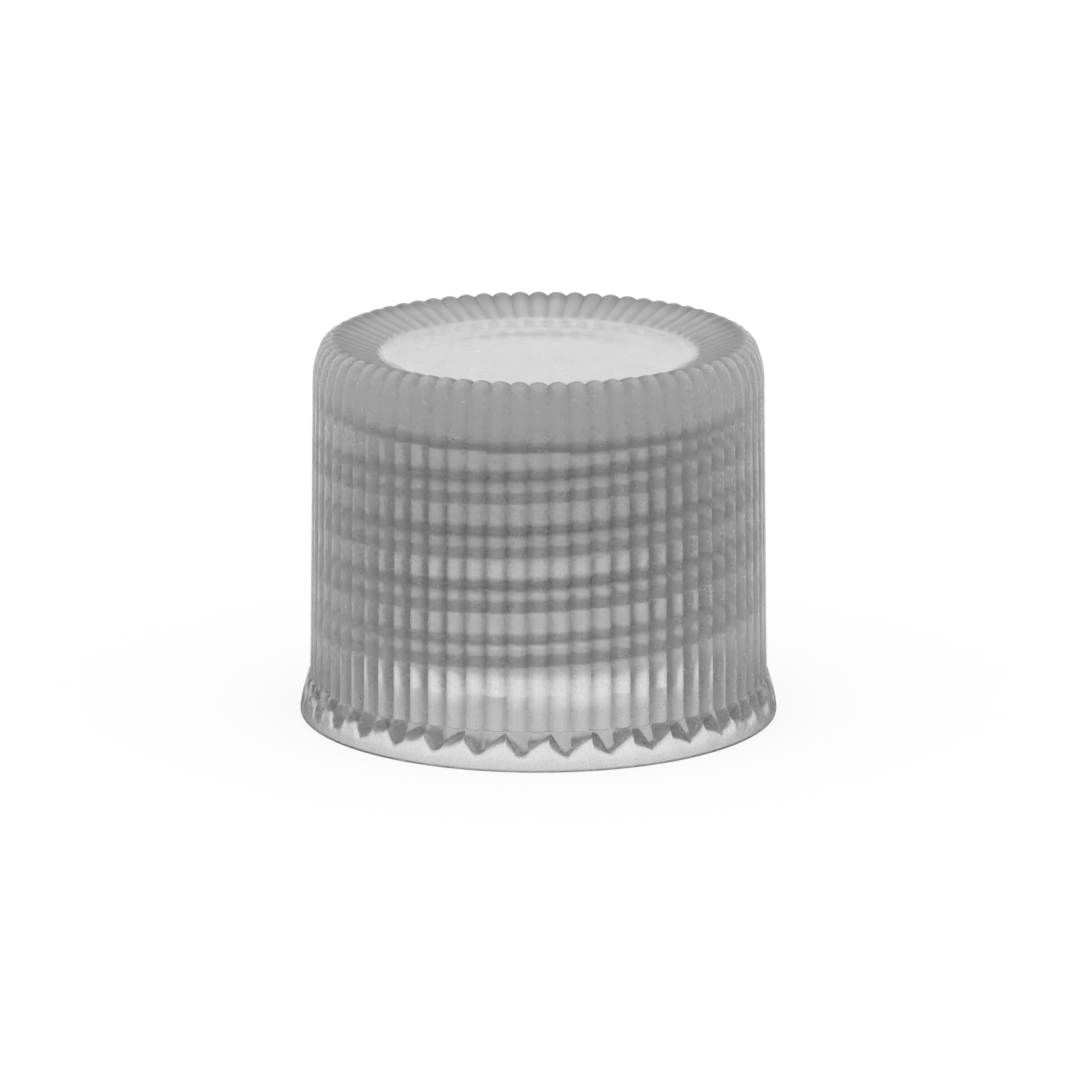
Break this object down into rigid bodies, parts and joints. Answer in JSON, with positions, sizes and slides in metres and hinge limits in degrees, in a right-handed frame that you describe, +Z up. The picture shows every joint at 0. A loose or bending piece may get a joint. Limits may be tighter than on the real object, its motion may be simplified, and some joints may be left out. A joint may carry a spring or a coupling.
{
  "type": "test tube screw cap",
  "caption": "Translucent plastic screw cap with a ribbed grip, a dished top and a flared lip, closing the threaded neck of a test tube.",
  "frame": {"origin": "centre of the base rim, on the surface that the cap stands on with its mouth down", "axes": "+Z up along the cap's axis, from the open mouth to the closed top"},
  "size_m": [0.0184, 0.0184, 0.0148],
  "materials": {
    "natural_plastic": "satin translucent moulding"
  },
  "bodies": {
    "root": {"screw_cap": "natural_plastic"}
  },
  "joints": []
}
